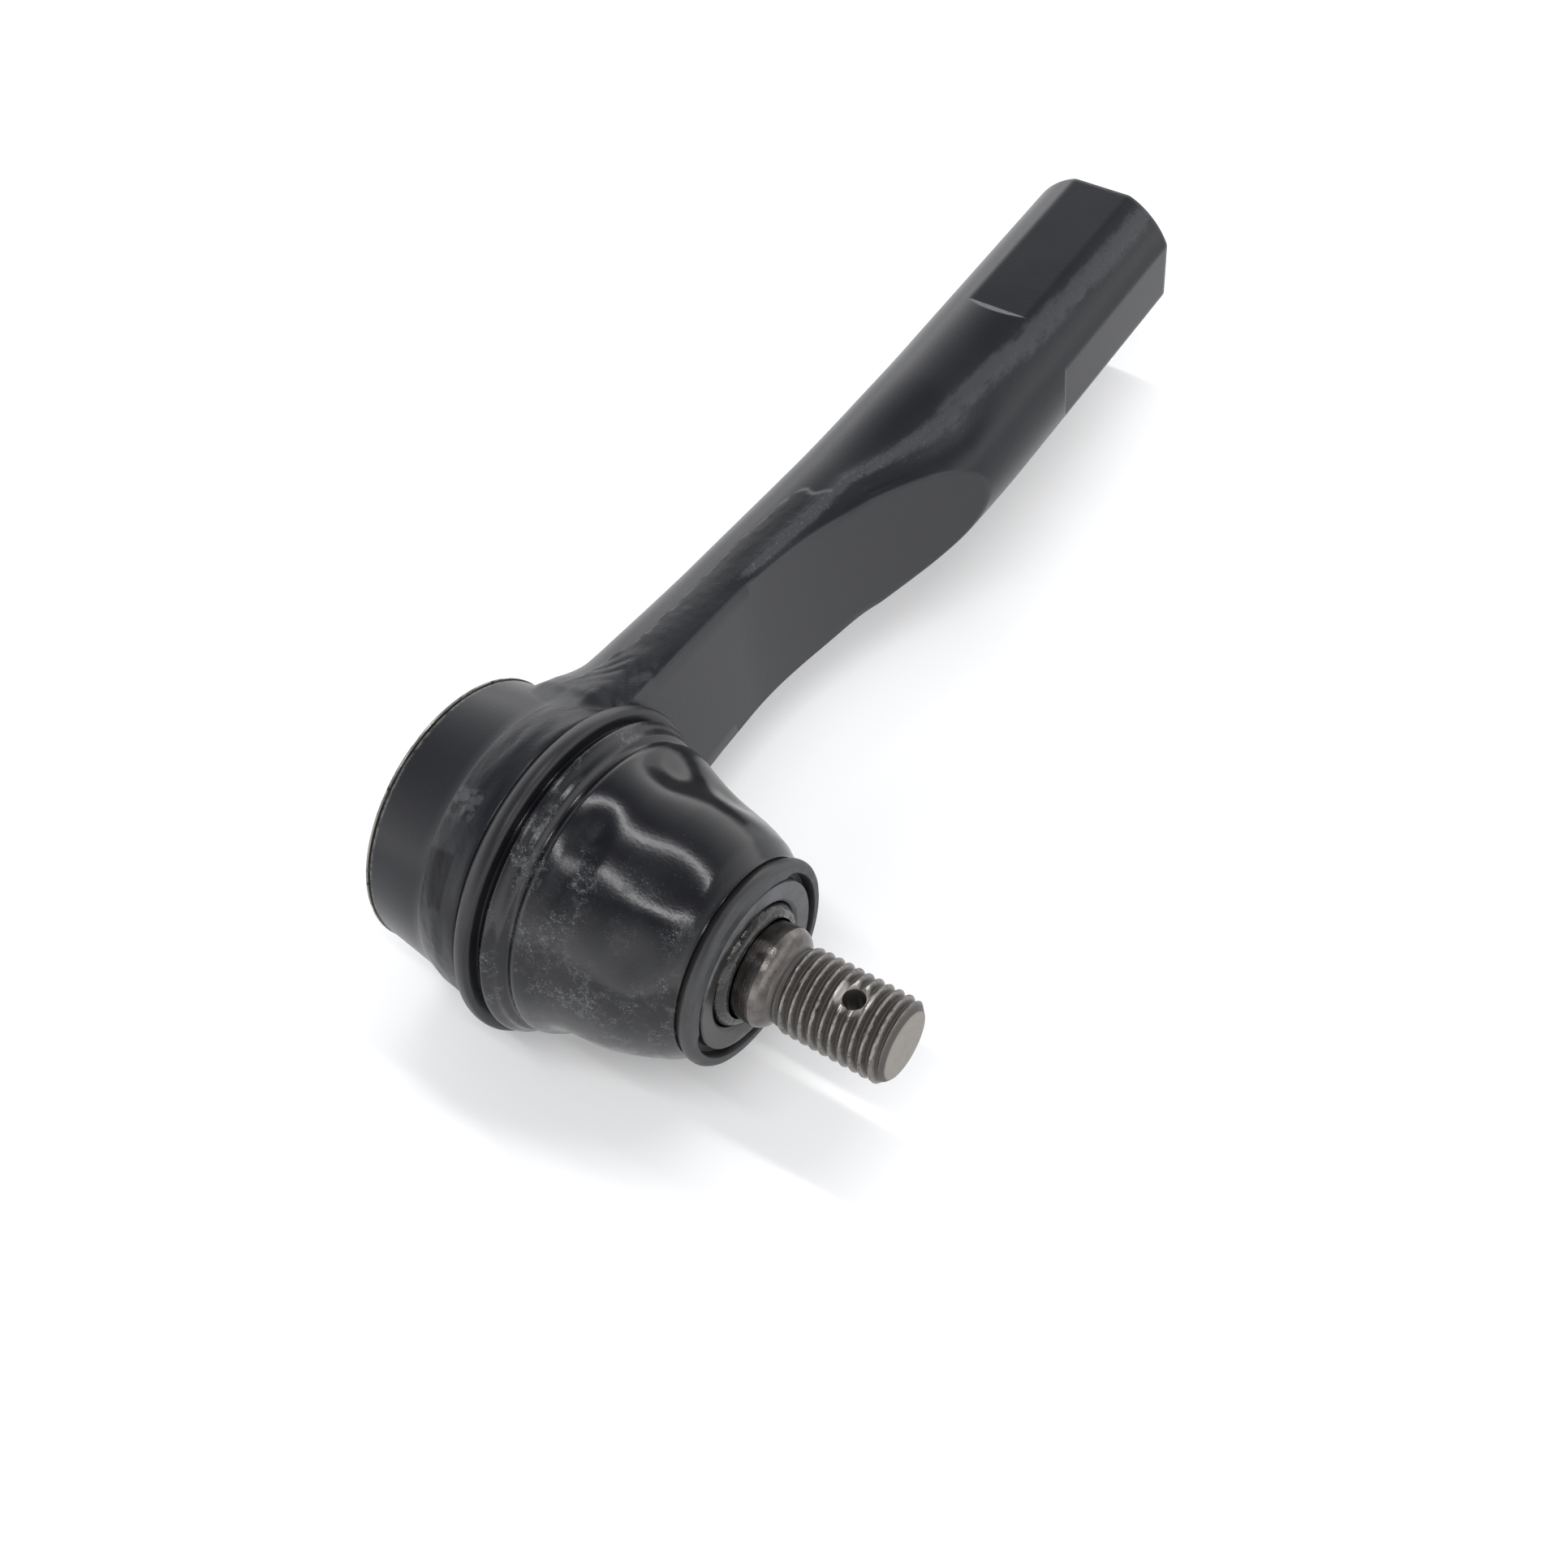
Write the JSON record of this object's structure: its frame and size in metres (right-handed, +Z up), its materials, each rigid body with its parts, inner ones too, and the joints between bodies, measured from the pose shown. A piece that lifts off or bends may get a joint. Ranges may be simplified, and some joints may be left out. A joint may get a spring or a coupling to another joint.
{
  "type": "tie rod end",
  "caption": "Outer tie rod end: a ball joint in a forged housing under a rubber dust boot, with a tapered threaded stud and a female-threaded shank with wrench flats.",
  "frame": {"origin": "under the middle of the whole part, on the surface that it lies on", "axes": "+X along the ball joint from the end cap to the stud's tip, +Y along the arm to the threaded end, +Z up through the upper wrench flat"},
  "size_m": [0.0604, 0.1424, 0.04],
  "materials": {
    "forging_paint": "black satin paint over forged steel",
    "stud_steel": "turned and rolled steel under a film of oil",
    "spring_steel": "plain spring steel",
    "seat_polymer": "natural acetal",
    "boot_rubber": "glossy black moulded rubber, slightly dusty",
    "boot_insert": "grey sealing washer"
  },
  "bodies": {
    "housing": {"housing": "forging_paint", "end_cap": "forging_paint", "preload_spring": "spring_steel", "ball_seat_cap_side": "seat_polymer", "ball_seat_stud_side": "seat_polymer", "boot_base_ring": "boot_rubber"},
    "boot": {"dust_boot": "boot_rubber"},
    "boot_neck": {"boot_neck_flange": "boot_rubber", "boot_neck_insert": "boot_insert", "boot_neck_clip": "spring_steel"},
    "stud": {"ball_stud": "stud_steel"}
  },
  "joints": [
    {"name": "stud_swing", "type": "hinge", "parent": "housing", "child": "boot", "pos_m": [-0.01675, -0.05125, 0.02], "axis": [0, 0, 1], "range_deg": [-20, 20], "deforming": ["dust_boot"]},
    {"name": "stud_rock", "type": "hinge", "parent": "boot", "child": "boot_neck", "pos_m": [-0.01675, -0.05125, 0.02], "axis": [0, 1, 0], "range_deg": [-20, 20], "deforming": ["dust_boot"]},
    {"name": "stud_spin", "type": "hinge", "parent": "boot_neck", "child": "stud", "pos_m": [-0.01675, -0.05125, 0.02], "axis": [1, 0, 0], "continuous": true}
  ]
}
